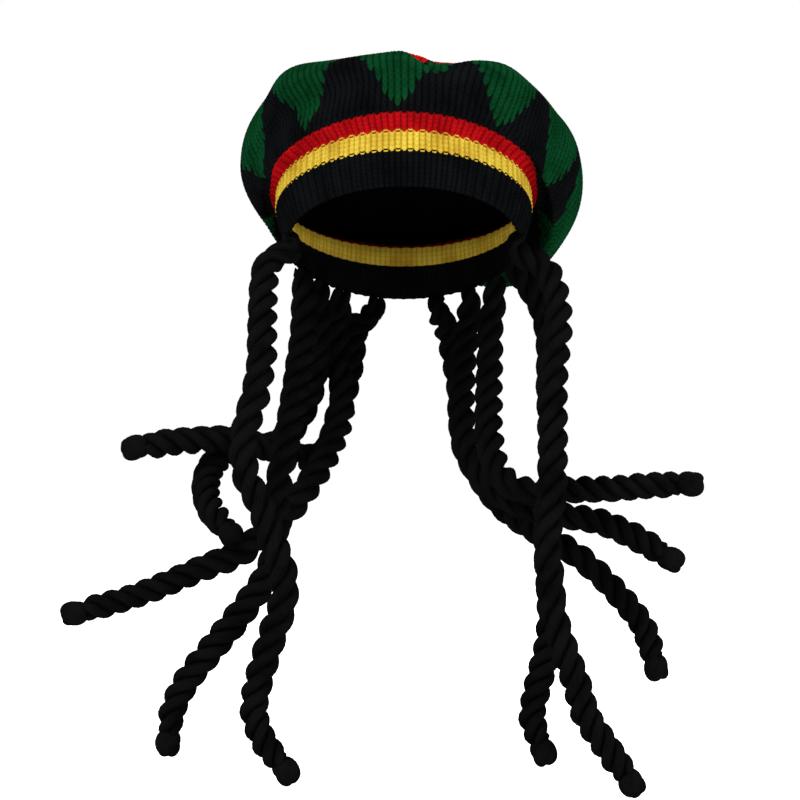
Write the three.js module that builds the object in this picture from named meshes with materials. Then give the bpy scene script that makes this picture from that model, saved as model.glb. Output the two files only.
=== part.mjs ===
// Knitted rasta tam: a slouchy bag gathered on a ribbed band of three stripes, with ten rope
// locks sewn under the rim. Millimetres, +Z up, -Y is the front.
// The origin is the middle of the head opening, as the hat sits on a head.
import * as THREE from 'three';

// Head opening, measured outside the rim
const rimHalfWidth = 75.3;
const rimHalfDepth = 97;
// The rim's front stands this far above its sides, and its back as far below them
const rimLift = 29.8;

// Ribbed band
const blackStripe = 21.5;
const yellowStripe = 11.2;
const redStripe = 10.6;
const bandSpread = 13.3;
const bandWall = 3.5;
const ribCount = 80;
const ribDepth = 1.2;

// Crown: how far it stands out past the band's top, how far its middle lies behind the
// opening's middle, and how far it rises above the sides of the band's top
const crownSideReach = 17.7;
const crownEndReach = 15.5;
const crownSetBack = 74;
const crownRise = 89;
const crownLean = 9.5;
// The bag slumps: it is drawn up by this much on the left and hangs as much lower on the right
const crownSlump = 7;
const crownWall = 3;
const foldDepth = 8;

// Locks and their end knots
const lockDiameter = 17;
const knotDiameter = 15.5;
const knotHeight = 14;
const lockLead = 9;

// Clearance between pieces that touch
const gap = 0.3;

// Mesh density
const crownColumns = 60;
const crownSteps = 17;
const lockSides = 10;
const knotSides = 10;

// Each stripe of the band, from the rim up. front, side and end are the shares of its height
// that it climbs at the front, the sides and the back end. spread and deepen are the shares of
// bandSpread that its top gains in half width and half depth, and setBack the share that its
// middle moves back.
const stripes = [
  { name: 'band_black', height: blackStripe, front: 1, side: 1.0, end: 1.02,
    spread: 0.43, deepen: 0.26, setBack: 0.04, steps: 2 },
  { name: 'band_yellow', height: yellowStripe, front: 1, side: 0.77, end: 0.98,
    spread: 0.0, deepen: 0.17, setBack: 0.02, steps: 1 },
  { name: 'band_red', height: redStripe, front: 1, side: 0.2, end: 0.1,
    spread: 0.57, deepen: 0.36, setBack: 0.13, steps: 2 },
];

// Rings of the crown from the band to its middle. width and depth are shares of the crown's
// full half width and half depth, back the share of crownSetBack. front, side and end are the
// heights at its front, sides and back end, as shares of crownRise above the sides of the
// band's top. slump is the share of crownSlump.
const crownRings = [
  { width: 0.880, depth: 0.970, back: 0.190, front: 0.699, side: -0.125, end: -0.628, slump: 1.0 },
  { width: 0.970, depth: 1.000, back: 0.390, front: 0.838, side: 0.069, end: -0.493, slump: 1.0 },
  { width: 0.990, depth: 0.947, back: 0.590, front: 0.900, side: 0.305, end: -0.223, slump: 0.8 },
  { width: 0.900, depth: 0.825, back: 0.750, front: 0.927, side: 0.535, end: 0.069, slump: 0.6 },
  { width: 0.760, depth: 0.667, back: 0.865, front: 0.960, side: 0.725, end: 0.338, slump: 0.5 },
  { width: 0.590, depth: 0.488, back: 0.946, front: 0.990, side: 0.855, end: 0.563, slump: 0.4 },
  { width: 0.390, depth: 0.293, back: 1.000, front: 0.993, side: 0.935, end: 0.732, slump: 0.2 },
  { width: 0.190, depth: 0.130, back: 1.000, front: 0.975, side: 0.965, end: 0.855, slump: 0.0 },
  { width: 0.000, depth: 0.000, back: 0.973, front: 0.945, side: 0.945, end: 0.945, slump: 0.0 },
];

// Soft folds and dents of the crown: the ring and the angle from the front (degrees, positive
// to the right as seen from the front) of the middle, its reach in rings and degrees, and its
// push outwards as a share of foldDepth.
const folds = [
  { ring: 7.0, angle: -3, rings: 1.8, degrees: 7, push: 0.20 },
  { ring: 7.0, angle: -42, rings: 2.2, degrees: 15, push: 0.25 },
  { ring: 5.6, angle: 10, rings: 1.4, degrees: 6, push: -1.20 },
  { ring: 7.0, angle: 34, rings: 1.8, degrees: 9, push: 0.40 },
  { ring: 4.4, angle: -78, rings: 0.7, degrees: 12, push: 0.50 },
  { ring: 4.7, angle: -108, rings: 1.05, degrees: 15, push: -1.15 },
  { ring: 4.6, angle: -150, rings: 1.2, degrees: 12, push: -0.55 },
  { ring: 5.4, angle: 100, rings: 1.4, degrees: 24, push: 0.60 },
  { ring: 4.4, angle: 127, rings: 1.0, degrees: 15, push: 0.40 },
  { ring: 4.8, angle: 84, rings: 1.0, degrees: 8, push: -0.40 },
  { ring: 7.4, angle: 62, rings: 1.4, degrees: 10, push: -0.30 },
  { ring: 4.6, angle: 152, rings: 1.6, degrees: 9, push: -0.60 },
  { ring: 5.0, angle: 178, rings: 1.6, degrees: 12, push: 0.55 },
  { ring: 9.2, angle: 75, rings: 1.4, degrees: 14, push: -0.50 },
  { ring: 9.2, angle: -75, rings: 1.4, degrees: 14, push: -0.45 },
  { ring: 9.3, angle: 130, rings: 1.6, degrees: 20, push: 0.40 },
  { ring: 5.0, angle: -95, rings: 2.0, degrees: 30, push: 0.64 },
  { ring: 4.4, angle: -125, rings: 1.3, degrees: 22, push: 0.31 },
  { ring: 5.0, angle: 95, rings: 2.0, degrees: 30, push: 0.26 },
  { ring: 3.9, angle: 95, rings: 0.8, degrees: 20, push: -0.26 },
  { ring: 5.6, angle: -45, rings: 1.4, degrees: 10, push: 0.74 },
  { ring: 5.6, angle: 45, rings: 1.4, degrees: 12, push: 0.20 },
  { ring: 7.4, angle: 14, rings: 2.6, degrees: 7, push: -0.15 },
];

// Each lock: the angle of its root on the rim, the steps of its tube, and the chosen points
// that it passes below its root.
const locks = [
  { name: 'lock_left_1', angle: -80, steps: 9, route: [
    [-84, -25, -11], [-87, -35, -29], [-87, -48, -51], [-87, -60, -74], [-90, -69, -94],
    [-95, -76, -112], [-97, -80, -128], [-94, -82, -145], [-86, -84, -161], [-79, -86, -181],
    [-72, -87, -202], [-73, -87, -220], [-80, -87, -241], [-87, -87, -265], [-90, -86, -284],
    [-83, -86, -303], [-74, -85, -315]] },
  { name: 'lock_left_2', angle: -115, steps: 8, route: [
    [-64, 34, -31], [-64, 22, -53], [-67, 4, -81], [-71, -15, -109], [-74, -27, -128],
    [-77, -37, -146], [-79, -45, -165], [-79, -51, -183], [-82, -56, -201], [-93, -59, -218],
    [-105, -61, -234], [-120, -62, -252], [-133, -62, -269], [-141, -62, -286],
    [-143, -61, -300]] },
  { name: 'lock_left_3', angle: -130, steps: 10, route: [
    [-55, 58, -39], [-57, 62, -67], [-62, 66, -94], [-73, 68, -116], [-91, 56, -128],
    [-109, 38, -129], [-121, 15, -137], [-125, -8, -152], [-120, -24, -166], [-110, -34, -177]] },
  { name: 'lock_left_4', angle: -145, steps: 8, route: [
    [-44, 82, -42], [-45, 82, -65], [-41, 72, -89], [-42, 54, -113], [-54, 34, -140],
    [-68, 22, -161], [-79, 18, -173], [-90, 12, -183], [-104, 5, -194], [-129, -4, -204],
    [-166, -12, -219], [-201, -17, -229]] },
  { name: 'lock_left_5', angle: -165, steps: 7, route: [
    [-31, 100, -47], [-36, 106, -74], [-42, 106, -100], [-47, 98, -120], [-54, 80, -133],
    [-69, 56, -134], [-89, 22, -127], [-110, 2, -122], [-141, -12, -123], [-163, -18, -126]] },
  { name: 'lock_right_1', angle: 80, steps: 9, route: [
    [88, -24, -15], [94, -32, -31], [95, -43, -51], [92, -54, -73], [90, -64, -97],
    [90, -72, -127], [89, -78, -157], [86, -82, -181], [87, -84, -202], [89, -85, -223],
    [95, -86, -244], [103, -87, -266], [109, -87, -286], [120, -87, -303], [133, -86, -322]] },
  { name: 'lock_right_2', angle: 98, steps: 8, route: [
    [79, 8, -23], [89, 0, -41], [92, -12, -62], [91, -26, -88], [91, -38, -116],
    [90, -46, -146], [87, -53, -177], [89, -56, -206], [90, -57, -230], [87, -58, -251],
    [81, -60, -273], [78, -61, -291], [83, -61, -306]] },
  { name: 'lock_right_3', angle: 124, steps: 7, route: [
    [57, 52, -46], [56, 46, -71], [55, 34, -97], [55, 18, -123], [61, 1, -145], [77, -12, -154],
    [99, -22, -153], [128, -32, -152], [150, -37, -150], [171, -40, -149]] },
  { name: 'lock_right_4', angle: 143, steps: 7, route: [
    [42, 80, -50], [39, 76, -77], [38, 62, -110], [43, 45, -135], [57, 28, -154],
    [77, 12, -165], [100, 2, -170], [124, -4, -174], [145, -9, -183], [163, -12, -194]] },
  { name: 'lock_right_5', angle: 162, steps: 7, route: [
    [30, 104, -53], [37, 104, -87], [40, 96, -112], [44, 84, -132], [53, 67, -151],
    [67, 52, -168], [88, 40, -183], [113, 28, -198], [137, 20, -221], [153, 14, -242],
    [159, 10, -262]] },
];

const blackYarn = new THREE.MeshStandardMaterial({ color: 0x101112, roughness: 0.95, metalness: 0 });
const ropeYarn = new THREE.MeshStandardMaterial({ color: 0x0c0c0d, roughness: 0.95, metalness: 0 });
const redYarn = new THREE.MeshStandardMaterial({ color: 0xa80e12, roughness: 0.95, metalness: 0 });
const yellowYarn = new THREE.MeshStandardMaterial({ color: 0xdeb642, roughness: 0.95, metalness: 0 });
const stripeYarns = { band_black: blackYarn, band_yellow: yellowYarn, band_red: redYarn };

// The fabric as rings from the rim (0) over the stripes' tops to the crown's middle (last)
function fabricRings() {
  const rim = {
    halfWidth: rimHalfWidth, halfDepth: rimHalfDepth, middle: 0, lean: 0, slump: 0,
    front: rimLift, side: 0, end: -rimLift,
  };
  const rings = [rim];
  for (const stripe of stripes) {
    const below = rings[rings.length - 1];
    rings.push({
      halfWidth: below.halfWidth + stripe.spread * bandSpread,
      halfDepth: below.halfDepth + stripe.deepen * bandSpread,
      middle: below.middle + stripe.setBack * bandSpread,
      lean: 0,
      slump: 0,
      front: below.front + stripe.front * stripe.height,
      side: below.side + stripe.side * stripe.height,
      end: below.end + stripe.end * stripe.height,
    });
  }
  const bandTop = rings[rings.length - 1];
  for (const ring of crownRings) {
    rings.push({
      halfWidth: ring.width * (bandTop.halfWidth + crownSideReach),
      halfDepth: ring.depth * (bandTop.halfDepth + crownEndReach),
      middle: ring.back * crownSetBack,
      lean: ring.back * crownLean,
      slump: ring.slump * crownSlump,
      front: bandTop.side + ring.front * crownRise,
      side: bandTop.side + ring.side * crownRise,
      end: bandTop.side + ring.end * crownRise,
    });
  }
  return rings;
}

const rings = fabricRings();
const lastRing = rings.length - 1;
const bandTopRing = stripes.length;

// A point of a ring at an angle from the front, in radians
function ringPoint(ring, angle) {
  const forward = Math.cos(angle);
  const sideways = Math.sin(angle);
  const tilt = (ring.front - ring.end) / 2;
  const arch = (ring.front + ring.end) / 2 - ring.side;
  return new THREE.Vector3(
    ring.lean + ring.halfWidth * sideways,
    ring.middle - ring.halfDepth * forward,
    ring.side + tilt * forward + arch * forward * forward - ring.slump * sideways,
  );
}

const meridians = new Map();

// The curve from the rim to the crown's middle at an angle
function meridian(angle) {
  if (!meridians.has(angle)) {
    meridians.set(angle, new THREE.CatmullRomCurve3(rings.map((ring) => ringPoint(ring, angle))));
  }
  return meridians.get(angle);
}

function smoothPoint(at, angle) {
  return meridian(angle).getPoint(Math.min(Math.max(at / lastRing, 0), 1));
}

// The outward direction of a surface given by pointAt(ring, angle)
function outward(pointAt, at, angle) {
  const nearMiddle = lastRing - 0.3;
  const reach = 0.02;
  if (at > nearMiddle) {
    const across = pointAt(nearMiddle, Math.PI / 2).sub(pointAt(nearMiddle, -Math.PI / 2));
    const along = pointAt(nearMiddle, Math.PI).sub(pointAt(nearMiddle, 0));
    return across.cross(along).normalize();
  }
  const round = pointAt(at, angle + reach).sub(pointAt(at, angle - reach));
  const above = pointAt(Math.min(at + reach, lastRing), angle);
  const below = pointAt(Math.max(at - reach, 0), angle);
  const up = above.sub(below);
  return round.cross(up).normalize();
}

function foldPush(at, angle) {
  let push = 0;
  for (const fold of folds) {
    const turn = Math.atan2(
      Math.sin(angle - THREE.MathUtils.degToRad(fold.angle)),
      Math.cos(angle - THREE.MathUtils.degToRad(fold.angle)),
    );
    const round = THREE.MathUtils.radToDeg(turn) / fold.degrees;
    const up = (at - fold.ring) / fold.rings;
    push += fold.push * foldDepth * Math.exp(-round * round - up * up);
  }
  return push;
}

function fabricPoint(at, angle) {
  const push = foldPush(at, angle);
  return smoothPoint(at, angle).addScaledVector(outward(smoothPoint, at, angle), push);
}

// The ring value that lies a small distance further up the fabric
function ahead(at, angle, distance) {
  const step = 0.01;
  const stretch = fabricPoint(at + step, angle).distanceTo(fabricPoint(at, angle)) / step;
  return at + distance / stretch;
}

// Angles that share the band evenly along its length
function evenAngles(count) {
  const ring = rings[bandTopRing - 1];
  const samples = 1440;
  const lengths = [0];
  for (let i = 1; i <= samples; i += 1) {
    const before = ringPoint(ring, ((i - 1) / samples) * 2 * Math.PI);
    const here = ringPoint(ring, (i / samples) * 2 * Math.PI);
    lengths.push(lengths[i - 1] + before.distanceTo(here));
  }
  const angles = [];
  let i = 0;
  for (let column = 0; column < count; column += 1) {
    const wanted = (column / count) * lengths[samples];
    while (lengths[i + 1] < wanted) {
      i += 1;
    }
    const share = (wanted - lengths[i]) / (lengths[i + 1] - lengths[i]);
    angles.push(((i + share) / samples) * 2 * Math.PI);
  }
  return angles;
}

// One piece of the fabric as a closed wall between two rings. The last ring of the fabric
// closes to a point. inset(column) draws the outer face in, for ribs.
function fabricWall({ from, to, steps, columns, wall, inset }) {
  const angles = evenAngles(columns);
  const closed = to === lastRing;
  const lines = closed ? steps : steps + 1;
  const outer = [];
  const inner = [];
  for (let line = 0; line < lines; line += 1) {
    angles.forEach((angle, column) => {
      const start = from > 0 ? ahead(from, angle, gap) : from;
      const at = start + ((to - start) * line) / steps;
      const point = fabricPoint(at, angle);
      const normal = outward(fabricPoint, at, angle);
      outer.push(point.clone().addScaledVector(normal, -inset(column)));
      inner.push(point.clone().addScaledVector(normal, -wall));
    });
  }
  const points = [...outer, ...inner];
  const innerStart = outer.length;
  const faces = [];
  const quad = (a, b, c, d) => faces.push(a, b, c, a, c, d);
  for (let column = 0; column < columns; column += 1) {
    const next = (column + 1) % columns;
    for (let line = 0; line + 1 < lines; line += 1) {
      const low = line * columns;
      const high = low + columns;
      quad(low + column, low + next, high + next, high + column);
      quad(
        innerStart + low + next,
        innerStart + low + column,
        innerStart + high + column,
        innerStart + high + next,
      );
    }
    quad(next, column, innerStart + column, innerStart + next);
    const top = (lines - 1) * columns;
    if (!closed) {
      quad(top + column, top + next, innerStart + top + next, innerStart + top + column);
    }
  }
  if (closed) {
    const middle = fabricPoint(lastRing, 0);
    const outerTip = points.push(middle) - 1;
    const inward = outward(fabricPoint, lastRing, 0).negate();
    const innerTip = points.push(middle.clone().addScaledVector(inward, wall)) - 1;
    const top = (lines - 1) * columns;
    for (let column = 0; column < columns; column += 1) {
      const next = (column + 1) % columns;
      faces.push(top + column, top + next, outerTip);
      faces.push(innerStart + top + next, innerStart + top + column, innerTip);
    }
  }
  const geometry = new THREE.BufferGeometry();
  const positions = points.flatMap((point) => point.toArray());
  geometry.setAttribute('position', new THREE.Float32BufferAttribute(positions, 3));
  geometry.setIndex(faces);
  geometry.computeVertexNormals();
  return geometry;
}

function addPiece(parent, name, geometry, material) {
  const piece = new THREE.Mesh(geometry, material);
  piece.name = name;
  parent.add(piece);
  return piece;
}

function addBand(parent) {
  const ribLine = (column) => (column % 2 === 0 ? 0 : ribDepth);
  stripes.forEach((stripe, index) => {
    const wall = fabricWall({
      from: index,
      to: index + 1,
      steps: stripe.steps,
      columns: 2 * ribCount,
      wall: bandWall,
      inset: ribLine,
    });
    addPiece(parent, stripe.name, wall, stripeYarns[stripe.name]);
  });
}

function addCrown(parent) {
  const wall = fabricWall({
    from: bandTopRing,
    to: lastRing,
    steps: crownSteps,
    columns: crownColumns,
    wall: crownWall,
    inset: () => 0,
  });
  addPiece(parent, 'crown', wall, blackYarn);
}

// The lock's middle line: out of the middle of the rim's wall, square to its edge, then down
function lockPath(lock) {
  const angle = THREE.MathUtils.degToRad(lock.angle);
  const normal = outward(fabricPoint, 0, angle);
  const beside = THREE.MathUtils.degToRad(1);
  const round = fabricPoint(0, angle + beside).sub(fabricPoint(0, angle - beside));
  const down = round.cross(normal).normalize();
  const edge = fabricPoint(0, angle).addScaledVector(normal, -bandWall / 2);
  const root = edge.clone().addScaledVector(down, gap);
  const lead = edge.clone().addScaledVector(down, lockLead);
  const route = lock.route.map((point) => new THREE.Vector3(...point));
  return new THREE.CatmullRomCurve3([root, lead, ...route]);
}

function lockTube(path, steps) {
  const section = new THREE.Shape();
  for (let side = 0; side < lockSides; side += 1) {
    const turn = (side / lockSides) * 2 * Math.PI;
    const across = (lockDiameter / 2) * Math.cos(turn);
    const along = (lockDiameter / 2) * Math.sin(turn);
    if (side === 0) {
      section.moveTo(across, along);
    } else {
      section.lineTo(across, along);
    }
  }
  section.closePath();
  return new THREE.ExtrudeGeometry(section, { steps, extrudePath: path, bevelEnabled: false });
}

function knotBall() {
  const radius = knotDiameter / 2;
  const profile = [
    new THREE.Vector2(0, 0),
    new THREE.Vector2(0.7 * radius, 0),
    new THREE.Vector2(radius, 0.28 * knotHeight),
    new THREE.Vector2(radius, 0.62 * knotHeight),
    new THREE.Vector2(0.62 * radius, 0.93 * knotHeight),
    new THREE.Vector2(0, knotHeight),
  ];
  return new THREE.LatheGeometry(profile, knotSides);
}

function addLock(parent, lock) {
  const path = lockPath(lock);
  addPiece(parent, lock.name, lockTube(path, lock.steps), ropeYarn);
  const along = path.getTangent(1);
  const knot = addPiece(parent, `${lock.name}_knot`, knotBall(), ropeYarn);
  knot.position.copy(path.getPoint(1)).addScaledVector(along, gap);
  knot.quaternion.setFromUnitVectors(new THREE.Vector3(0, 1, 0), along);
}

const tam = new THREE.Group();
addBand(tam);
addCrown(tam);
for (const lock of locks) {
  addLock(tam, lock);
}

export default tam;
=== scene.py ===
import math

import bpy
import numpy as np
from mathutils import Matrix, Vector


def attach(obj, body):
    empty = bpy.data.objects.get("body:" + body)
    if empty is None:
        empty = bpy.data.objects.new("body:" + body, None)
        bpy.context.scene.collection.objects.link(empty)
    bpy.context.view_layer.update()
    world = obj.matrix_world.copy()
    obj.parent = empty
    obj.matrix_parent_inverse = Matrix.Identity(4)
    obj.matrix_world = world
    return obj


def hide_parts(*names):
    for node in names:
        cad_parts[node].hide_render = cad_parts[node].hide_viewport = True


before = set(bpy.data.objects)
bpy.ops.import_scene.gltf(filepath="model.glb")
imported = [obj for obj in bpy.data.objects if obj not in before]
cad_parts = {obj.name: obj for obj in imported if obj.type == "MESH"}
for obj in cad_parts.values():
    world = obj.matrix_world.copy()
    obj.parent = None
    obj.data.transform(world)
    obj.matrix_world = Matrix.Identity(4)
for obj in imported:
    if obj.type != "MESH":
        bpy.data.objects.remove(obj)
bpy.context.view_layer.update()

# Sizes are in millimetres until a point is placed
MM = 0.001
TWO_PI = 2 * math.pi

# The yarns, as numbers in their list
BLACK, GREEN, RED, YELLOW = range(4)

# Rim of the head opening and the ribbed band above it
RIM_HALF_WIDTH = 75.3
RIM_HALF_DEPTH = 97
RIM_LIFT = 29.8
RIM_ROUND = 1.0
RIM_ROUND_ROWS = 0.65
BAND_SPREAD = 13.3
BAND_WALL = 3.5
WALES = 160
RIB_DEPTH = 1.6
INSIDE_RIB = 0.9

# Stripes: height, rows, climb at the front, side and back end, growth in width, depth and set-back
STRIPES = [
    {"colour": BLACK, "height": 21.5, "rows": 8, "climb": (1, 1.0, 1.02), "grow": (0.43, 0.26, 0.04)},
    {"colour": YELLOW, "height": 11.2, "rows": 4, "climb": (1, 0.77, 0.98), "grow": (0.0, 0.17, 0.02)},
    {"colour": RED, "height": 10.6, "rows": 4, "climb": (1, 0.2, 0.1), "grow": (0.57, 0.36, 0.13)},
]

# The share of the red stripe that shows at the sides, and where it narrows, in degrees from the front
SIDE_RED = 0.45
SIDE_RED_FROM = 58
SIDE_RED_OVER = 24

# Crown: reach past the band's top, set-back and rise of its middle, and its lean and slump
CROWN_SIDE_REACH = 17.7
CROWN_END_REACH = 15.5
CROWN_SET_BACK = 74
CROWN_RISE = 89
CROWN_LEAN = 9.5
CROWN_SLUMP = 7
CROWN_WALL = 3
CROWN_DENT = 0.6
FOLD_DEPTH = 8

# Rings of the crown: width, depth, back, front, side, end, slump
CROWN_RINGS = [
    (0.880, 0.970, 0.190, 0.699, -0.125, -0.628, 1.0),
    (0.970, 1.000, 0.390, 0.838, 0.069, -0.493, 1.0),
    (0.990, 0.947, 0.590, 0.900, 0.305, -0.223, 0.8),
    (0.900, 0.825, 0.750, 0.927, 0.535, 0.069, 0.6),
    (0.760, 0.667, 0.865, 0.960, 0.725, 0.338, 0.5),
    (0.590, 0.488, 0.946, 0.990, 0.855, 0.563, 0.4),
    (0.390, 0.293, 1.000, 0.993, 0.935, 0.732, 0.2),
    (0.190, 0.130, 1.000, 0.975, 0.965, 0.855, 0.0),
    (0.000, 0.000, 0.973, 0.945, 0.945, 0.945, 0.0),
]

# Soft folds and dents: ring, angle, reach in rings and in degrees, push
FOLDS = [
    (7.0, -3, 1.8, 7, 0.20),
    (7.0, -42, 2.2, 15, 0.25),
    (5.6, 10, 1.4, 6, -1.20),
    (7.0, 34, 1.8, 9, 0.40),
    (4.4, -78, 0.7, 12, 0.50),
    (4.7, -108, 1.05, 15, -1.15),
    (4.6, -150, 1.2, 12, -0.55),
    (5.4, 100, 1.4, 24, 0.60),
    (4.4, 127, 1.0, 15, 0.40),
    (4.8, 84, 1.0, 8, -0.40),
    (7.4, 62, 1.4, 10, -0.30),
    (4.6, 152, 1.6, 9, -0.60),
    (5.0, 178, 1.6, 12, 0.55),
    (9.2, 75, 1.4, 14, -0.50),
    (9.2, -75, 1.4, 14, -0.45),
    (9.3, 130, 1.6, 20, 0.40),
    (5.0, -95, 2.0, 30, 0.64),
    (4.4, -125, 1.3, 22, 0.31),
    (5.0, 95, 2.0, 30, 0.26),
    (3.9, 95, 0.8, 20, -0.26),
    (5.6, -45, 1.4, 10, 0.74),
    (5.6, 45, 1.4, 12, 0.20),
    (7.4, 14, 2.6, 7, -0.15),
    (6.4, 2.4, 0.8, 3.4, -1.0),
    (8.1, 9, 0.8, 5, -0.3),
    (8.2, 27, 0.9, 12, -0.35),
    (6.6, 27, 0.8, 11, 0.3),
]

# Knitting of the crown: rows, sectors, and the least width of a wale before a sector drops one
CROWN_ROWS = 58
CROWN_ROW_HEIGHT = 4.2
SECTORS = 10
LEAST_WALE = 3.7
ROWS_BEFORE_DROP = 15

# Rows from the rim at which the crown is split, to keep each piece light
CROWN_SPLITS = (36, 55)

# Stitches: samples over a wale and a row, height, the rise of the legs in rows, and their profiles
SAMPLES_ACROSS = 7
ROW_SHARES = (0.0, 0.3, 0.65)
STITCH_HEIGHT = 1.1
LEG_RISE = 0.95
LEG_PLACES = (0.0, 0.17, 0.33, 0.5)
LEG_HEIGHTS = (0.55, 1.0, 0.9, 0.0)
SWELL_HEIGHTS = (0.0, 1.0, 0.75, 0.0)
KNIT_MEAN = 0.55
PURL_BEND = 1.6
PURL_MEAN = 0.5
PURL_RISE = 0.6
RIB_CALM = 0.45
RIB_FADE_ROWS = 2
MIDDLE_FADE_ROWS = 2

# Wales of the crown: their lean in degrees, and how far they are drawn aside, in wales from the front
WALE_LEAN = -2.0
DRAWN_AT = (-62, -33, -17, -1, 15, 31, 62)
DRAWN_BY = (0, 4.5, 1.8, 0, 0, -4, 0)
DRAWN_OVER_ROWS = 5
LEAN_OVER_ROWS = 11

# Chart of the crown: how many rows later each wale starts, and the rows where the colours start
CHART_DELAY = (0, 1, 2, 4, 6, 9, 13, 19, 26)
CHART = [(1, GREEN), (17, BLACK), (19, RED), (28, BLACK), (31, YELLOW), (39, BLACK)]

# The tables of the fabric: angles round it, steps in a row, and levels used to share out the rows
TABLE_TURNS = 720
TABLE_STEPS = 4
TABLE_LEVELS = 401

# Rope locks: size, twist and steps, and how deep they are sewn into the rim
GAP = 0.3
LOCK_DIAMETER = 17
LOCK_LEAD = 9
LOCK_FULLNESS = 1.06
TWIST_PITCH = 42
ROPE_STEP = 2.0
CURVE_STEPS = 24
SEWN_IN = 2.2

# Strands and core of a lock, as shares of its radius
STRAND_OFFSET = 0.6
STRAND_DEPTH = 0.42
STRAND_WIDTH = 0.385
CORE_WIDTH = 0.46

# Their number, sides and rounded ends, and how fast the yarn turns round them
STRANDS = 3
STRAND_SIDES = 16
CORE_SIDES = 10
STRAND_CAP = 3
YARN_TURN = 0.17

# How a lock thins and tightens: its share at the root, its losses towards the end, their reach
ROOT_SHARE = 0.72
ROOT_REACH = 22
TAPER = 0.05
PITCH_LOSS = 0.25
TAPER_REACH = 110
END_TAPER = 0.17
END_REACH = 9

# Uneven handwork along a lock: the size and the length of each wave, shifted by chance
FIRST_SEED = 100
LARGEST_SHIFT = 6
SIZE_WAVE = (0.04, 31)
TWIST_WAVE = (0.25, 23)
LUMP_SHARE = 0.05
LUMP_LENGTHS = (4.1, 9.7)

# End knots: size, fullness, overlap with the lock, and how their strands wind
KNOT_DIAMETER = 15.5
KNOT_HEIGHT = 14
KNOT_FULLNESS = 1.08
KNOT_BELLY = 0.2
KNOT_OVERLAP = 2.0
KNOT_TIP = 0.4
KNOT_STEPS = 25
KNOT_TURNS = 0.6
KNOT_CAP = 6.5
KNOT_YARN_TURN = 0.2

# Strands of a knot, as shares of its radius
KNOT_OFFSET = 0.36
KNOT_DEPTH = 0.62
KNOT_WIDTH = 0.66

# A direction that no lock runs along, used to find the sides of a line
ASIDE = (0.3, 1.0, 0.2)

# Each lock: the angle of its root on the rim, and the points that it passes below its root
LOCKS = {
    "lock_left_1": (-80, [
        (-84, -25, -11), (-87, -35, -29), (-87, -48, -51), (-87, -60, -74), (-90, -69, -94),
        (-95, -76, -112), (-97, -80, -128), (-94, -82, -145), (-86, -84, -161),
        (-79, -86, -181), (-72, -87, -202), (-73, -87, -220), (-80, -87, -241),
        (-87, -87, -265), (-90, -86, -284), (-83, -86, -303), (-74, -85, -315)]),
    "lock_left_2": (-115, [
        (-64, 34, -31), (-64, 22, -53), (-67, 4, -81), (-71, -15, -109), (-74, -27, -128),
        (-77, -37, -146), (-79, -45, -165), (-79, -51, -183), (-82, -56, -201),
        (-93, -59, -218), (-105, -61, -234), (-120, -62, -252), (-133, -62, -269),
        (-141, -62, -286), (-143, -61, -300)]),
    "lock_left_3": (-130, [
        (-55, 58, -39), (-57, 62, -67), (-62, 66, -94), (-73, 68, -116), (-91, 56, -128),
        (-109, 38, -129), (-121, 15, -137), (-125, -8, -152), (-120, -24, -166),
        (-110, -34, -177)]),
    "lock_left_4": (-145, [
        (-44, 82, -42), (-45, 82, -65), (-41, 72, -89), (-42, 54, -113), (-54, 34, -140),
        (-68, 22, -161), (-79, 18, -173), (-90, 12, -183), (-104, 5, -194), (-129, -4, -204),
        (-166, -12, -219), (-201, -17, -229)]),
    "lock_left_5": (-165, [
        (-31, 100, -47), (-36, 106, -74), (-42, 106, -100), (-47, 98, -120), (-54, 80, -133),
        (-69, 56, -134), (-89, 22, -127), (-110, 2, -122), (-141, -12, -123), (-163, -18, -126)]),
    "lock_right_1": (80, [
        (88, -24, -15), (94, -32, -31), (95, -43, -51), (92, -54, -73), (90, -64, -97),
        (90, -72, -127), (89, -78, -157), (86, -82, -181), (87, -84, -202), (89, -85, -223),
        (95, -86, -244), (103, -87, -266), (109, -87, -286), (120, -87, -303), (133, -86, -322)]),
    "lock_right_2": (98, [
        (79, 8, -23), (89, 0, -41), (92, -12, -62), (91, -26, -88), (91, -38, -116),
        (90, -46, -146), (87, -53, -177), (89, -56, -206), (90, -57, -230), (87, -58, -251),
        (81, -60, -273), (78, -61, -291), (83, -61, -306)]),
    "lock_right_3": (124, [
        (57, 52, -46), (56, 46, -71), (55, 34, -97), (55, 18, -123), (61, 1, -145),
        (77, -12, -154), (99, -22, -153), (128, -32, -152), (150, -37, -150), (171, -40, -149)]),
    "lock_right_4": (143, [
        (42, 80, -50), (39, 76, -77), (38, 62, -110), (43, 45, -135), (57, 28, -154),
        (77, 12, -165), (100, 2, -170), (124, -4, -174), (145, -9, -183), (163, -12, -194)]),
    "lock_right_5": (162, [
        (30, 104, -53), (37, 104, -87), (40, 96, -112), (44, 84, -132), (53, 67, -151),
        (67, 52, -168), (88, 40, -183), (113, 28, -198), (137, 20, -221), (153, 14, -242),
        (159, 10, -262)]),
}

# The wale in the middle of the front sector, counted from the very front
FIRST_CENTRE = -1

# Counts that follow from the sizes above
SECTOR_WALES = WALES // SECTORS
HALF_SECTOR = SECTOR_WALES // 2
ORDERS = np.arange(WALES) % SECTOR_WALES - HALF_SECTOR
COLUMNS = WALES * SAMPLES_ACROSS
BAND_TOP = len(STRIPES)
STRIPE_STARTS = [sum(stripe["rows"] for stripe in STRIPES[:n]) for n in range(BAND_TOP + 1)]
BAND_ROWS = STRIPE_STARTS[-1]
TOTAL_ROWS = BAND_ROWS + CROWN_ROWS


def smoothstep(value):
    value = np.clip(value, 0, 1)
    return value * value * (3 - 2 * value)


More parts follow.
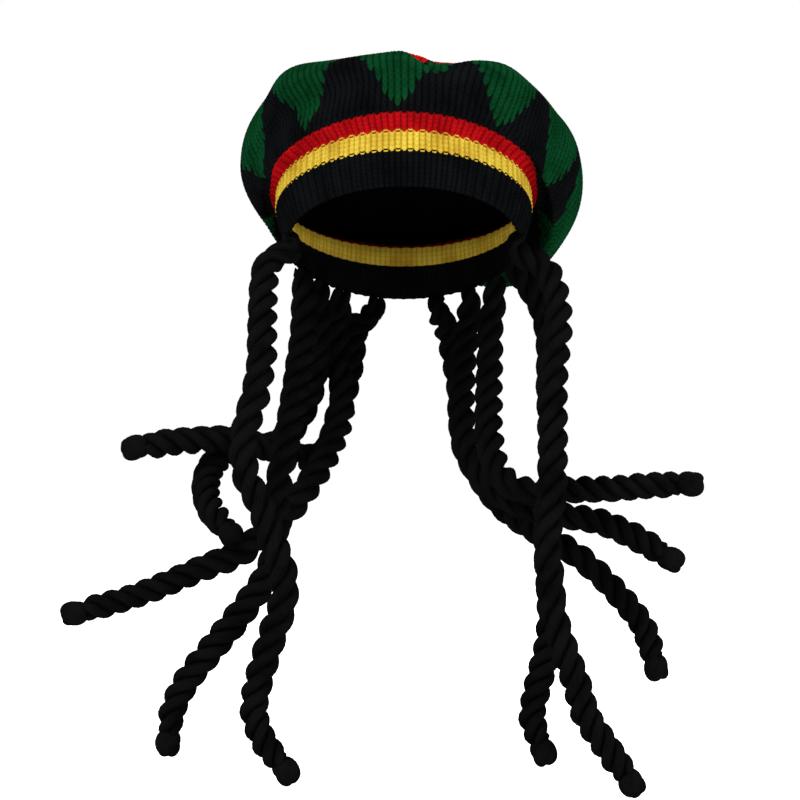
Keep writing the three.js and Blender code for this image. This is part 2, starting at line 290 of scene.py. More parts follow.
def unit(vectors):
    return vectors / np.linalg.norm(vectors, axis=-1, keepdims=True)


# The length run along a line at each of its points
def run_length(line):
    steps = np.linalg.norm(np.diff(line, axis=0), axis=-1)
    return np.concatenate([np.zeros_like(steps[:1]), np.cumsum(steps, axis=0)])


# The fabric's rings from the rim to the crown's middle, one column for each size
def fabric_rings():
    rings = [[RIM_HALF_WIDTH, RIM_HALF_DEPTH, 0, 0, 0, RIM_LIFT, 0, -RIM_LIFT]]
    for stripe in STRIPES:
        below = rings[-1]
        spread, deepen, set_back = stripe["grow"]
        climb = [share * stripe["height"] for share in stripe["climb"]]
        rings.append([
            below[0] + spread * BAND_SPREAD,
            below[1] + deepen * BAND_SPREAD,
            below[2] + set_back * BAND_SPREAD,
            0,
            0,
            below[5] + climb[0],
            below[6] + climb[1],
            below[7] + climb[2],
        ])
    top = rings[-1]
    for width, depth, back, front, side, end, slump in CROWN_RINGS:
        rings.append([
            width * (top[0] + CROWN_SIDE_REACH),
            depth * (top[1] + CROWN_END_REACH),
            back * CROWN_SET_BACK,
            back * CROWN_LEAN,
            slump * CROWN_SLUMP,
            top[6] + front * CROWN_RISE,
            top[6] + side * CROWN_RISE,
            top[6] + end * CROWN_RISE,
        ])
    return np.array(rings, float)


RINGS = fabric_rings()
LAST_RING = len(RINGS) - 1


# A point of a ring, at an angle from the front in radians
def ring_point(index, angle):
    half_width, half_depth, middle, lean, slump, front, side, end = np.moveaxis(RINGS[index], -1, 0)
    forward = np.cos(angle)
    sideways = np.sin(angle)
    tilt = (front - end) / 2
    arch = (front + end) / 2 - side
    height = side + tilt * forward + arch * forward**2 - slump * sideways
    return np.stack([lean + half_width * sideways, middle - half_depth * forward, height], -1)


# A centripetal Catmull-Rom curve between the second and third of four points
def curve_between(p0, p1, p2, p3, share):
    least = 1e-4

    def spacing(a, b):
        return (((a - b) ** 2).sum(-1) ** 0.25)[..., None]

    d0 = spacing(p0, p1)
    d1 = spacing(p1, p2)
    d2 = spacing(p2, p3)
    d1 = np.where(d1 < least, 1.0, d1)
    d0 = np.where(d0 < least, d1, d0)
    d2 = np.where(d2 < least, d1, d2)
    t1 = ((p1 - p0) / d0 - (p2 - p0) / (d0 + d1) + (p2 - p1) / d1) * d1
    t2 = ((p2 - p1) / d1 - (p3 - p1) / (d1 + d2) + (p3 - p2) / d2) * d1
    t = share[..., None]
    square = -3 * p1 + 3 * p2 - 2 * t1 - t2
    cube = 2 * p1 - 2 * p2 + t1 + t2
    return p1 + t1 * t + square * t**2 + cube * t**3


# A point of the smooth fabric, at a place between the rings and at an angle
def smooth_point(at, angle):
    at = np.clip(at, 0, LAST_RING)
    index = np.minimum(np.floor(at).astype(int), LAST_RING - 1)
    p1 = ring_point(index, angle)
    p2 = ring_point(index + 1, angle)
    before = ring_point(np.maximum(index - 1, 0), angle)
    after = ring_point(np.minimum(index + 2, LAST_RING), angle)
    p0 = np.where((index == 0)[..., None], 2 * p1 - p2, before)
    p3 = np.where((index + 2 > LAST_RING)[..., None], 2 * p2 - p1, after)
    return curve_between(p0, p1, p2, p3, at - index)


# The outward direction of a surface given by point_at, which takes a place and an angle
def outward(point_at, at, angle):
    reach = 0.02
    short_of_middle = 0.05
    at = np.minimum(at, LAST_RING - short_of_middle)
    around = point_at(at, angle + reach) - point_at(at, angle - reach)
    up = point_at(at + reach, angle) - point_at(np.maximum(at - reach, 0), angle)
    return unit(np.cross(around, up))


# How far the folds and dents push the fabric outwards
def fold_push(at, angle):
    push = np.zeros_like(at)
    for ring, degrees, rings, width, share in FOLDS:
        turn = angle - math.radians(degrees)
        turn = np.degrees(np.arctan2(np.sin(turn), np.cos(turn)))
        push += share * FOLD_DEPTH * np.exp(-((turn / width) ** 2) - ((at - ring) / rings) ** 2)
    return push


# A point of the folded fabric
def fabric_point(at, angle):
    normal = outward(smooth_point, at, angle)
    return smooth_point(at, angle) + normal * fold_push(at, angle)[..., None]


# The place of each row between the rings, where the crown's rows start where the red stripe ends
def row_places(rows, turns):
    levels = np.linspace(BAND_TOP - 1, LAST_RING, TABLE_LEVELS)
    length = run_length(fabric_point(levels[:, None] + 0 * turns, turns + 0 * levels[:, None]))
    at = np.repeat(np.interp(rows, STRIPE_STARTS, np.arange(BAND_TOP + 1))[:, None], len(turns), 1)
    aside = np.degrees(np.abs(np.arctan2(np.sin(turns), np.cos(turns))))
    shown = 1 - (1 - SIDE_RED) * smoothstep((aside - SIDE_RED_FROM) / SIDE_RED_OVER)
    at = np.where(at > BAND_TOP - 1, BAND_TOP - 1 + (at - BAND_TOP + 1) * shown, at)
    crown = rows > BAND_ROWS
    share = (rows[crown] - BAND_ROWS) / CROWN_ROWS
    for k in range(len(turns)):
        begin = np.interp(BAND_TOP - 1 + shown[k], levels, length[:, k])
        path = length[-1, k] - begin
        first = CROWN_ROW_HEIGHT * CROWN_ROWS / path
        climbed = begin + path * (first * share + (1 - first) * share**2)
        at[crown, k] = np.interp(climbed, length[:, k], levels)
    return at


# Tables of the fabric's points and normals, by row of knitting and by angle
def fabric_tables():
    turns = np.arange(TABLE_TURNS) / TABLE_TURNS * TWO_PI
    rows = np.arange(TOTAL_ROWS * TABLE_STEPS + 1) / TABLE_STEPS
    at = row_places(rows, turns)
    angle = turns + 0 * at
    normal = outward(fabric_point, at, angle)
    normal[-1] = normal[-1].mean(0)
    return fabric_point(at, angle), normal


PLACE, NORMAL = fabric_tables()


# The value of a table at a row and an angle in radians
def look_up(table, row, angle):
    level = np.clip(row * TABLE_STEPS, 0, len(table) - 1)
    low = np.minimum(np.floor(level).astype(int), len(table) - 2)
    up = (level - low)[..., None]
    turn = np.mod(angle / TWO_PI, 1) * TABLE_TURNS
    left = np.floor(turn).astype(int)
    across = (turn - left)[..., None]
    left = left % TABLE_TURNS
    right = (left + 1) % TABLE_TURNS
    below = table[low, left] * (1 - across) + table[low, right] * across
    above = table[low + 1, left] * (1 - across) + table[low + 1, right] * across
    return below * (1 - up) + above * up


# Wales and their angles, shared evenly along the band at the top of its yellow stripe
def wale_angles():
    samples = 2 * TABLE_TURNS
    turns = np.arange(samples + 1) / samples * TWO_PI
    length = run_length(ring_point(np.full(samples + 1, BAND_TOP - 1), turns))
    return length / length[-1] * WALES, turns


WALE_PLACE, WALE_TURN = wale_angles()


def wale_angle(wale):
    whole = np.floor(wale / WALES)
    return np.interp(wale - whole * WALES, WALE_PLACE, WALE_TURN) + whole * TWO_PI


# How many wales a sector has left in each row as the crown closes
def wales_left():
    rows = np.arange(TOTAL_ROWS + 1)
    around = PLACE[rows * TABLE_STEPS]
    perimeter = np.linalg.norm(around - np.roll(around, 1, axis=1), axis=-1).sum(1)
    count = np.minimum(perimeter / SECTORS / LEAST_WALE, SECTOR_WALES)
    count = np.where(rows > BAND_ROWS + ROWS_BEFORE_DROP, count, SECTOR_WALES)
    return np.minimum.accumulate(count)


COUNT = wales_left()


# The share of its width that each wale of a sector keeps, as they close from the borders inwards
def wale_widths(row):
    count = max(np.interp(row, np.arange(TOTAL_ROWS + 1), COUNT), 1)
    order = np.arange(SECTOR_WALES) - HALF_SECTOR
    width = np.clip((count - (2 * np.abs(order) - 1)) / 2, 0, 1)
    width[HALF_SECTOR] = 1
    width[0] = np.clip(count - (SECTOR_WALES - 1), 0, 1)
    return width


# The colour of a stitch, by row from the rim and by wale from the middle of its sector
def stitch_colour(row, order):
    if row < BAND_ROWS:
        return STRIPES[np.searchsorted(STRIPE_STARTS, row, side="right") - 1]["colour"]
    step = row - BAND_ROWS - CHART_DELAY[abs(order)]
    found = BLACK
    for start, colour in CHART:
        if step >= start:
            found = colour
    return found


# Where the band's colours change, each purl stitch shows a dash of the other colour
def dash_colour(row, share, colour):
    for number in range(1, len(STRIPES)):
        if row == STRIPE_STARTS[number] and share == 0:
            return STRIPES[number - 1]["colour"]
        if row == STRIPE_STARTS[number] - 1 and share == len(ROW_SHARES) - 1:
            return STRIPES[number]["colour"]
    return colour


# The relief of one line of stitches, in millimetres, and how far its legs rise, in rows
def stitch_relief(wale, across, share, rib, width):
    side = np.abs(across - 0.5)
    leg = np.interp(side, LEG_PLACES, LEG_HEIGHTS)
    swell = np.interp(share, (*ROW_SHARES, 1.0), SWELL_HEIGHTS)
    bar = 1 - (PURL_BEND * side) ** 2
    knit = STITCH_HEIGHT * (leg * (0.5 + 0.5 * swell) - KNIT_MEAN)
    purl = STITCH_HEIGHT * (bar * (PURL_RISE + (1 - PURL_RISE) * swell) - PURL_MEAN)
    turned = np.mod(np.round(wale), 2) * rib
    groove = 0.5 - 0.5 * np.cos(math.pi * wale)
    height = (knit * (1 - turned) + purl * turned) * width - RIB_DEPTH * rib * groove
    rise_knit = 2 * side
    rise_purl = PURL_RISE + (1 - PURL_RISE) * (2 * side) ** 2
    rise = rise_knit * (1 - turned) + rise_purl * turned
    rise = 0.5 + (rise - 0.5) * (1 - RIB_CALM * rib)
    return height, LEG_RISE * (1 - width * (1 - rise))


# The column that each column of a line merges into, because closed wales have no width
def merged_columns(widths, samples):
    narrowest = 1e-6
    alive = np.tile(widths > narrowest, SECTORS)
    merged = np.arange(len(alive) * samples)
    following = None
    for number in range(2 * len(alive) - 1, -1, -1):
        start = number % len(alive) * samples
        if alive[number % len(alive)]:
            following = start
        elif following is not None:
            merged[start : start + samples] = following
    return merged


# One line of the outer face: its points in metres, its normals, and its merged columns
def face_line(row, share, samples, relief=True):
    line = row + share
    widths = wale_widths(line)
    edges = np.concatenate([[0], np.cumsum(widths)]) / widths.sum()
    across = np.tile(np.arange(samples) / samples, SECTOR_WALES)
    order = np.repeat(np.arange(SECTOR_WALES), samples)
    place = np.tile(edges[order] + (edges[order + 1] - edges[order]) * across, SECTORS)
    sectors = np.repeat(np.arange(SECTORS), SECTOR_WALES * samples)
    wale = FIRST_CENTRE + SECTOR_WALES * (sectors + place) - (SECTOR_WALES + 1) / 2
    at = np.full(len(wale), float(line))
    height = np.zeros(len(wale))
    if relief:
        rib = 1 - smoothstep((line - BAND_ROWS) / RIB_FADE_ROWS)
        width = np.tile(widths[order], SECTORS)
        height, rise = stitch_relief(wale, np.tile(across, SECTORS), share, rib, width)
        near_middle = np.clip((TOTAL_ROWS - 1 - line) / MIDDLE_FADE_ROWS, 0, 1)
        at = line + (rise - LEG_RISE / 2) * min(line, 1) * near_middle
        height = height - RIM_ROUND * (1 - min(line / RIM_ROUND_ROWS, 1))
    around = np.mod(wale + WALES / 2, WALES) - WALES / 2
    drawn = np.interp(around, DRAWN_AT, DRAWN_BY) * smoothstep((at - BAND_ROWS) / DRAWN_OVER_ROWS)
    lean = np.radians(WALE_LEAN) * smoothstep((at - BAND_ROWS) / LEAN_OVER_ROWS)
    angle = wale_angle(wale + drawn) + lean
    normal = unit(look_up(NORMAL, at, angle))
    points = (look_up(PLACE, at, angle) + normal * height[:, None]) * MM
    return points, normal, merged_columns(widths, samples)


# One line of the inner face, at the depth of the wall, with the ribbing's wales in relief
def wall_line(row, wall, ribbed):
    place, normal, merged = face_line(row, 0, 1, relief=False)
    depth = np.full(len(place), float(wall))
    if ribbed:
        depth -= np.where(np.arange(WALES) % 2 == 0, INSIDE_RIB, 0.0)
    return place - normal * depth[:, None] * MM, merged


# Faces with the colour of each and the map of each corner, where merged corners count once
class Faces:
    def __init__(self):
        self.corners = []
        self.colours = []
        self.maps = []

    def add(self, corners, colour, places):
        kept = {}
        for corner, place in zip(corners, places):
            kept.setdefault(int(corner), place)
        if len(kept) > 2:
            self.corners.append(list(kept))
            self.colours.append(colour)
            self.maps.extend(kept.values())


# The outer face between its lines of stitches, each in its own colour
def add_outer_face(faces, lines, outer):
    for index in range(len(lines) - 1):
        row, share = lines[index]
        next_row, next_share = lines[index + 1]
        v0 = row + ROW_SHARES[share]
        v1 = next_row + ROW_SHARES[next_share]
        low = outer[index]
        high = outer[index + 1]
        for wale in range(WALES):
            own = stitch_colour(row, ORDERS[wale])
            purl = row < BAND_ROWS and (wale + ORDERS[0] + FIRST_CENTRE) % 2 == 1
            dash = dash_colour(row, share, own) if purl else own
            for sample in range(SAMPLES_ACROSS):
                left = wale * SAMPLES_ACROSS + sample
                right = (left + 1) % COLUMNS
                u0 = left / SAMPLES_ACROSS
                u1 = (left + 1) / SAMPLES_ACROSS
                faces.add(
                    (low[left], low[right], high[right], high[left]),
                    dash if 0 < sample < SAMPLES_ACROSS - 1 else own,
                    ((u0, v0), (u1, v0), (u1, v1), (u0, v1)),
                )


# The inner face shows the stripes in the band, and is black in the crown
def add_inner_face(faces, first, inner, ribbed):
    for row, (low, high) in enumerate(zip(inner, inner[1:]), start=first):
        for wale in range(WALES):
            right = (wale + 1) % WALES
            faces.add(
                (low[right], low[wale], high[wale], high[right]),
                stitch_colour(row, ORDERS[wale]) if ribbed else BLACK,
                ((wale + 1, row), (wale, row), (wale, row + 1), (wale + 1, row + 1)),
            )


# The edge between the outer and the inner face, below a piece or on top of it
def add_edge(faces, row, outer_line, inner_line, on_top):
    for wale in range(WALES):
        run = [outer_line[(wale * SAMPLES_ACROSS + k) % COLUMNS] for k in range(SAMPLES_ACROSS + 1)]
        corners = [*run, inner_line[(wale + 1) % WALES], inner_line[wale]]
        if not on_top:
            corners = corners[::-1]
        faces.add(corners, stitch_colour(row, ORDERS[wale]), [(wale + 0.5, row)] * len(corners))


# The drawn-in middle of the crown, on the outer or the inner face
def add_middle(faces, row, ring, tip, inside):
    for k in range(len(ring)):
        pair = [ring[k], ring[(k + 1) % len(ring)]]
        if inside:
            pair = pair[::-1]
        faces.add((*pair, tip), BLACK, ((k, row), (k + 1, row), (k, row + 1)))


# The middle of the crown, drawn in a little, on the outer and on the inner face
def middle_points(wall):
    middle = look_up(PLACE, np.array([float(TOTAL_ROWS)]), np.array([0.0]))
    axis = look_up(NORMAL, np.array([TOTAL_ROWS - 1.0]), np.array([0.0]))
    return [(middle - axis * depth) * MM for depth in (CROWN_DENT, wall + CROWN_DENT)]


def add_object(name, data):
    thing = bpy.data.objects.new(name, data)
    bpy.context.scene.collection.objects.link(thing)
    return thing


def add_mesh(name, points, faces, maps, materials):
    mesh = bpy.data.meshes.new(name)
    mesh.from_pydata(points.tolist(), [], faces)
    mesh.uv_layers.new(name="yarn").data.foreach_set("uv", np.array(maps, float).ravel())
    mesh.shade_smooth()
    for material in materials:
        mesh.materials.append(material)
    return add_object(name, mesh)


# Edges between two marked points stay sharp, so that a piece joins the next without a dark line
def keep_sharp(mesh, marked):
    pairs = np.zeros(len(mesh.edges) * 2, np.int32)
    mesh.edges.foreach_get("vertices", pairs)
    mesh.edges.foreach_set("use_edge_sharp", marked[pairs.reshape(-1, 2)].all(1))
    mesh.update()


# A closed piece of knitting between two rows: stitches outside, plain wall inside
def knit_piece(name, first, last, wall, cap=False):
    ribbed = last <= BAND_ROWS
    lines = [(row, share) for row in range(first, last) for share in range(len(ROW_SHARES))]
    lines.append((last, 0))
    points = []
    outer = []
    inner = []
    total = 0
    for row, share in lines:
        place, normal, merged = face_line(row, ROW_SHARES[share], SAMPLES_ACROSS)
        points.append(place)
        outer.append(total + merged)
        total += len(place)
    for row in range(first, last + 1):
        place, merged = wall_line(row, wall, ribbed)
        points.append(place)
        inner.append(total + merged)
        total += len(place)
    faces = Faces()
    add_outer_face(faces, lines, outer)
    add_inner_face(faces, first, inner, ribbed)
    add_edge(faces, first, outer[0], inner[0], False)
    borders = [outer[0], inner[0]] if first > 0 else []
    if cap:
        points.extend(middle_points(wall))
        add_middle(faces, last, outer[-1], total, False)
        add_middle(faces, last, inner[-1], total + 1, True)
    else:
        add_edge(faces, last - 1, outer[-1], inner[-1], True)
        borders.extend([outer[-1], inner[-1]])
    points = np.concatenate(points)
    used = np.zeros(len(points), bool)
    used[np.concatenate(faces.corners)] = True
    number = np.cumsum(used) - 1
    polygons = [number[corners].tolist() for corners in faces.corners]
    piece = add_mesh(name, points[used], polygons, faces.maps, YARNS)
    piece.data.polygons.foreach_set("material_index", np.array(faces.colours, np.int32))
    marked = np.zeros(len(points), bool)
    marked[np.concatenate(borders)] = True
    keep_sharp(piece.data, marked[used])
    return piece


# A yarn's look: soft fibres along the stitch, darker and lighter at random, and painted shade where
# stitches meet
def yarn_material(name, colour, dark_fibre_and_painted_shade, across, along, strength, paints_stitch_shade):
    material = bpy.data.materials.new(name)
    material.use_nodes = True
    nodes = material.node_tree.nodes
    links = material.node_tree.links
    shader = nodes["Principled BSDF"]
    shader.inputs["Roughness"].default_value = 0.9
    shader.inputs["Specular IOR Level"].default_value = 0.0
    place = nodes.new("ShaderNodeUVMap")
    place.uv_map = "yarn"
    stretch = nodes.new("ShaderNodeMapping")
    stretch.inputs["Scale"].default_value = (across, along, 1)
    stretch.inputs["Rotation"].default_value = (0, 0, 0.25)
    links.new(place.outputs["UV"], stretch.inputs["Vector"])
    fibre = nodes.new("ShaderNodeTexNoise")
    fibre.inputs["Scale"].default_value = 1
    fibre.inputs["Detail"].default_value = 4
    fibre.inputs["Roughness"].default_value = 0.65
    links.new(stretch.outputs["Vector"], fibre.inputs["Vector"])
    body = nodes.new("ShaderNodeTexCoord")
    patch = nodes.new("ShaderNodeTexNoise")
    patch.inputs["Scale"].default_value = 55
    patch.inputs["Detail"].default_value = 3
    links.new(body.outputs["Object"], patch.inputs["Vector"])

    def combine(operation, *values):
        node = nodes.new("ShaderNodeMath")
        node.operation = operation
        for socket, value in zip(node.inputs, values):
            if isinstance(value, (int, float)):
                socket.default_value = value
            else:
                links.new(value, socket)
        return node.outputs["Value"]

    depth = combine("MULTIPLY", fibre.outputs["Fac"], patch.outputs["Fac"])
    # Painted shade: the colour darkens towards the grooves between wales and between rows of the map
    if paints_stitch_shade:
        parts = nodes.new("ShaderNodeSeparateXYZ")
        links.new(place.outputs["UV"], parts.inputs["Vector"])
        for axis, sharpness in (("X", 0.35), ("Y", 0.12)):
            wave = combine("SINE", combine("MULTIPLY", parts.outputs[axis], math.pi))
            painted_shade_factor = combine("POWER", combine("ABSOLUTE", wave), sharpness)
            depth = combine("MULTIPLY", depth, painted_shade_factor)
    # The darker colour stands for dark fibres and, on knitted yarn, for the painted shade between
    # stitches
    ramp = nodes.new("ShaderNodeValToRGB")
    ramp.color_ramp.elements[0].position = 0.08
    ramp.color_ramp.elements[0].color = (*dark_fibre_and_painted_shade, 1)
    ramp.color_ramp.elements[1].position = 0.3
    ramp.color_ramp.elements[1].color = (*colour, 1)
    links.new(depth, ramp.inputs["Fac"])
    links.new(ramp.outputs["Color"], shader.inputs["Base Color"])
    bump = nodes.new("ShaderNodeBump")
    bump.inputs["Strength"].default_value = strength
    bump.inputs["Distance"].default_value = 0.0006
    links.new(fibre.outputs["Fac"], bump.inputs["Height"])
    links.new(bump.outputs["Normal"], shader.inputs["Normal"])
    return material


# Fibres across and along the yarn, the strength of their relief, and whether painted shade darkens the
# grooves between stitches
KNIT_LOOK = (3.0, 9.0, 0.6, True)
ROPE_LOOK = (0.12, 5.0, 0.8, False)
# Each yarn: its colour, and a darker colour for dark fibres and for the painted shade between stitches;
# the rope yarn has no painted shade
YARNS = [
    yarn_material("black_yarn", (0.0024, 0.0026, 0.0030), (0.0008, 0.0009, 0.0010), *KNIT_LOOK),
    yarn_material("green_yarn", (0.0016, 0.0245, 0.0074), (0.0005, 0.0065, 0.0020), *KNIT_LOOK),
    yarn_material("red_yarn", (0.2200, 0.0023, 0.0036), (0.0800, 0.0008, 0.0012), *KNIT_LOOK),
    yarn_material("yellow_yarn", (0.3310, 0.2450, 0.0255), (0.1870, 0.1010, 0.0068), *KNIT_LOOK),
]
ROPE_YARN = yarn_material("rope_yarn", (0.0022, 0.0022, 0.0023), (0.0007, 0.0007, 0.0007), *ROPE_LOOK)


# The line of a lock: out of the middle of the rim's wall, square to its edge, then down its route
def lock_line(angle, route):
    zero = np.array([0.0])
    turn = np.array([math.radians(angle)])
    beside = math.radians(1)
    normal = outward(fabric_point, zero, turn)[0]
    around = (fabric_point(zero, turn + beside) - fabric_point(zero, turn - beside))[0]
    down = unit(np.cross(around, normal))
    edge = fabric_point(zero, turn)[0] - normal * BAND_WALL / 2
    points = np.array([edge + down * GAP, edge + down * LOCK_LEAD, *route], float)
    before = np.concatenate([[2 * points[0] - points[1]], points[:-1]])
    after = np.concatenate([points[2:], [2 * points[-1] - points[-2]]])
    shares = np.linspace(0, 1, CURVE_STEPS, endpoint=False)
    parts = []
    for four in zip(before, points, points[1:], after):
        parts.append(curve_between(*[np.repeat(p[None], len(shares), 0) for p in four], shares))
    line = np.concatenate([*parts, points[-1:]])
    along = run_length(line)
    steps = int(round(along[-1] / ROPE_STEP))
    even = np.linspace(0, along[-1], steps + 1)
    return np.stack([np.interp(even, along, line[:, k]) for k in range(3)], 1), along[-1]


# Two directions square to a line at each of its points, turning as little as they can
def frames(line):
    tangent = unit(np.gradient(line, axis=0))
    sides = [unit(np.cross(tangent[0], ASIDE))]
    for k in range(1, len(line)):
        sides.append(unit(sides[-1] - tangent[k] * (sides[-1] @ tangent[k])))
    sides = np.array(sides)
    return tangent, sides, np.cross(tangent, sides)


# A closed tube of ellipses round a line, with a map along a yarn that turns round the tube
def tube(line, side, up, deep, wide, sides, yarn_turn):
    turn = np.arange(sides) / sides * TWO_PI
    length = run_length(line)
    across = (np.cos(turn)[None] * deep[:, None])[..., None] * side[:, None]
    along = (np.sin(turn)[None] * wide[:, None])[..., None] * up[:, None]
    points = (line[:, None] + across + along).reshape(-1, 3)
    bulge = 0.1
    first = line[:1] + (line[:1] - line[1:2]) * bulge
    last = line[-1:] + (line[-1:] - line[-2:-1]) * bulge
    points = np.concatenate([points, first, last])
    faces = []
    maps = []

    def spot(k, n):
        return (length[k], n / sides * TWO_PI + length[k] * yarn_turn)

    for k in range(len(line) - 1):
        for n in range(sides):
            m = (n + 1) % sides
            faces.append((k * sides + n, k * sides + m, (k + 1) * sides + m, (k + 1) * sides + n))
            maps.extend([spot(k, n), spot(k, n + 1), spot(k + 1, n + 1), spot(k + 1, n)])
    start = len(points) - 2
    end = len(points) - 1
    top = len(line) - 1
    for n in range(sides):
        m = (n + 1) % sides
        faces.append((m, n, start))
        faces.append((top * sides + n, top * sides + m, end))
        maps.extend([spot(0, n + 1), spot(0, n), spot(0, n)])
        maps.extend([spot(top, n), spot(top, n + 1), spot(top, n)])
    return points, faces, maps


# A strand beside a line, thick and wide as given, with rounded ends
def strand(line, out, offset, deep, wide, sides, yarn_turn, cap):
    middle = line + out * offset[:, None]
    direction = unit(np.gradient(middle, axis=0))
    side = unit(out - direction * (out * direction).sum(1, keepdims=True))
    up = np.cross(direction, side)
    along = run_length(middle)
    near = np.minimum(along, along[-1] - along) / cap
    blunt = 0.03
    ends = np.sqrt(np.clip(1 - (1 - near).clip(0, 1) ** 2, blunt, 1))
    return tube(middle, side, up, deep * ends, wide * ends, sides, yarn_turn)


# One piece of rope yarn from several closed shells
def rope_piece(name, shells):
    points = []
    faces = []
    maps = []
    total = 0
    for place, polygons, places in shells:
        points.append(place * MM)
        faces.extend([tuple(int(corner) + total for corner in polygon) for polygon in polygons])
        maps.extend(places)
        total += len(place)
    return add_mesh(name, np.concatenate(points), faces, maps, [ROPE_YARN])


def direction_at(angle, side, up):
    return np.cos(angle)[:, None] * side + np.sin(angle)[:, None] * up


# A wave along a lock, shifted by chance
def wave(along, length, chance):
    return np.sin(along / length + chance.uniform(0, LARGEST_SHIFT))


# From 0 to 1 over the last stretch of a lock
def near_end(along, reach):
    return smoothstep((along - along[-1] + reach) / reach)


# A lock: three strands twisted round a core, full below the rim and thinner at the end
def rope(name, line, length, number):
    chance = np.random.default_rng(FIRST_SEED + number)
    along = np.linspace(0, length, len(line))
    tangent, side, up = frames(line)
    root = ROOT_SHARE + (1 - ROOT_SHARE) * smoothstep(along / ROOT_REACH)
    end = 1 - TAPER * near_end(along, TAPER_REACH) - END_TAPER * near_end(along, END_REACH)
    uneven = 1 + SIZE_WAVE[0] * wave(along, SIZE_WAVE[1], chance)
    size = LOCK_FULLNESS * LOCK_DIAMETER / 2 * root * end * uneven
    pitch = TWIST_PITCH * (1 - PITCH_LOSS * near_end(along, TAPER_REACH))
    turn = np.concatenate([[0], np.cumsum(TWO_PI * np.diff(along) / pitch[1:])])
    turn = turn + TWIST_WAVE[0] * wave(along, TWIST_WAVE[1], chance)
    phase = chance.uniform(0, TWO_PI)
    line = np.concatenate([line[:1] - tangent[:1] * SEWN_IN, line[1:]])
    shells = []
    for part in range(STRANDS):
        out = direction_at(turn + phase + part * TWO_PI / STRANDS, side, up)
        short_lumps, long_lumps = [wave(along, lump, chance) for lump in LUMP_LENGTHS]
        swollen = size * (1 + LUMP_SHARE * short_lumps * long_lumps)
        deep = STRAND_DEPTH * swollen
        wide = STRAND_WIDTH * swollen
        offset = STRAND_OFFSET * size
        shells.append(strand(line, out, offset, deep, wide, STRAND_SIDES, YARN_TURN, STRAND_CAP))
    core = CORE_WIDTH * size
    shells.append(strand(line, side, np.zeros(len(line)), core, core, CORE_SIDES, YARN_TURN, STRAND_CAP))
    return rope_piece(name, shells)


# A knot: the lock's three strands drawn tight round their own end
def knot(name, end, axis, number):
    axis = unit(axis)
    rise = np.linspace(-KNOT_OVERLAP, KNOT_HEIGHT - KNOT_TIP, KNOT_STEPS)
    line = end + axis * rise[:, None]
    side = np.repeat(unit(np.cross(axis, ASIDE))[None], len(line), 0)
    up = np.cross(axis, side)
    share = (rise - rise[0]) / (rise[-1] - rise[0])
    belly = 1 - KNOT_BELLY + KNOT_BELLY * np.sin(math.pi * share)
    size = KNOT_FULLNESS * KNOT_DIAMETER / 2 * belly
    offset = KNOT_OFFSET * size
    deep = KNOT_DEPTH * size
    wide = KNOT_WIDTH * size
    shells = []
    for part in range(STRANDS):
        out = direction_at(TWO_PI * (KNOT_TURNS * share + part / STRANDS) + number, side, up)
        shells.append(strand(line, out, offset, deep, wide, STRAND_SIDES, KNOT_YARN_TURN, KNOT_CAP))
    return rope_piece(name, shells)


# The camera stands where the photographer stood, level with the middle of the hat and its locks
CAMERA_PLACE = (-0.0025, -1.6, -0.097)
CAMERA_HALF_VIEW = 0.25316
SENSOR_WIDTH = 36
camera_data = bpy.data.cameras.new("camera")
camera_data.sensor_width = SENSOR_WIDTH
camera_data.lens = SENSOR_WIDTH / 2 * -CAMERA_PLACE[1] / CAMERA_HALF_VIEW
camera = add_object("camera", camera_data)
camera.location = CAMERA_PLACE
camera.rotation_euler = (math.pi / 2, 0, 0)
bpy.context.scene.camera = camera

# The locks and their knots
for number, (name, (angle, route)) in enumerate(LOCKS.items()):
    line, length = lock_line(angle, route)
    lock = rope(f"{name}_rope", line, length, number)
    end_knot = knot(f"{name}_end_knot", line[-1], line[-1] - line[-2], number)
    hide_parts(name)
    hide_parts(f"{name}_knot")
    for piece in (lock, end_knot):
        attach(piece, "root")

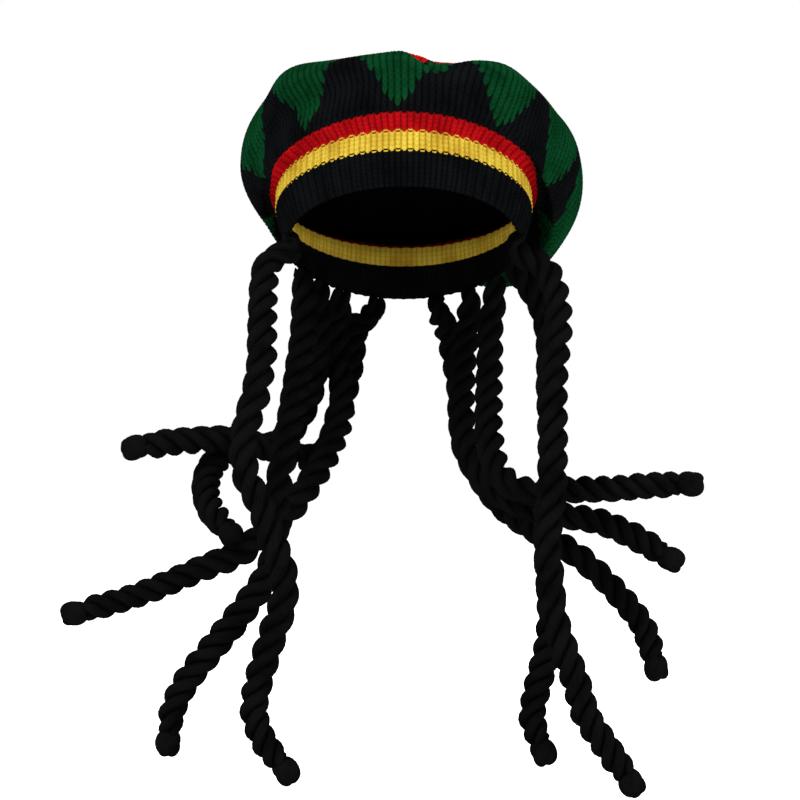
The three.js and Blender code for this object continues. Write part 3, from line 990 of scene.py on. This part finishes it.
# The knitted pieces: name, the part that each stands for, first and last row, wall and main yarn
KNIT = [
    ("band_black_knit", "band_black", 0, STRIPE_STARTS[1], BAND_WALL, "black_yarn"),
    ("band_yellow_knit", "band_yellow", STRIPE_STARTS[1], STRIPE_STARTS[2], BAND_WALL, "yellow_yarn"),
    ("band_red_knit", "band_red", STRIPE_STARTS[2], BAND_ROWS, BAND_WALL, "red_yarn"),
    ("crown_lower_knit", "crown", BAND_ROWS, CROWN_SPLITS[0], CROWN_WALL, "black_yarn"),
    ("crown_middle_knit", "crown", CROWN_SPLITS[0], CROWN_SPLITS[1], CROWN_WALL, "black_yarn"),
    ("crown_upper_knit", "crown", CROWN_SPLITS[1], TOTAL_ROWS - 1, CROWN_WALL, "black_yarn"),
]
for name, node, first, last, wall, slot in KNIT:
    piece = knit_piece(name, first, last, wall, cap=last == TOTAL_ROWS - 1)
    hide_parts(node)
    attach(piece, "root")

# Pale floor below the longest locks
FLOOR_HEIGHT = -0.36
FLOOR_REACH = 12
FLOOR_CORNERS = ((-1, -1), (1, -1), (1, 1), (-1, 1))
floor_data = bpy.data.meshes.new("floor")
floor_points = [(x * FLOOR_REACH, y * FLOOR_REACH, FLOOR_HEIGHT) for x, y in FLOOR_CORNERS]
floor_data.from_pydata(floor_points, [], [(0, 1, 2, 3)])
floor = add_object("floor", floor_data)
paper = bpy.data.materials.new("paper")
paper.use_nodes = True
paper.node_tree.nodes["Principled BSDF"].inputs["Base Color"].default_value = (1, 1, 1, 1)
paper.node_tree.nodes["Principled BSDF"].inputs["Roughness"].default_value = 0.9
floor_data.materials.append(paper)


# Soft studio light
def add_light(name, place, size, power):
    data = bpy.data.lights.new(name, "AREA")
    data.shape = "SQUARE"
    data.size = size
    data.energy = power
    light = add_object(name, data)
    light.location = place
    light.rotation_euler = (-Vector(place)).to_track_quat("-Z", "Y").to_euler()


add_light("key", (-1.2, -1.8, 1.6), 1.2, 110)
add_light("fill", (1.8, -1.2, 0.5), 1.6, 50)
add_light("top", (0.2, 0.6, 2.2), 1.6, 70)
world = bpy.data.worlds.new("studio")
world.use_nodes = True
world.node_tree.nodes["Background"].inputs["Color"].default_value = (1, 1, 1, 1)
world.node_tree.nodes["Background"].inputs["Strength"].default_value = 1.0
bpy.context.scene.world = world
bpy.context.scene.view_settings.view_transform = "Standard"
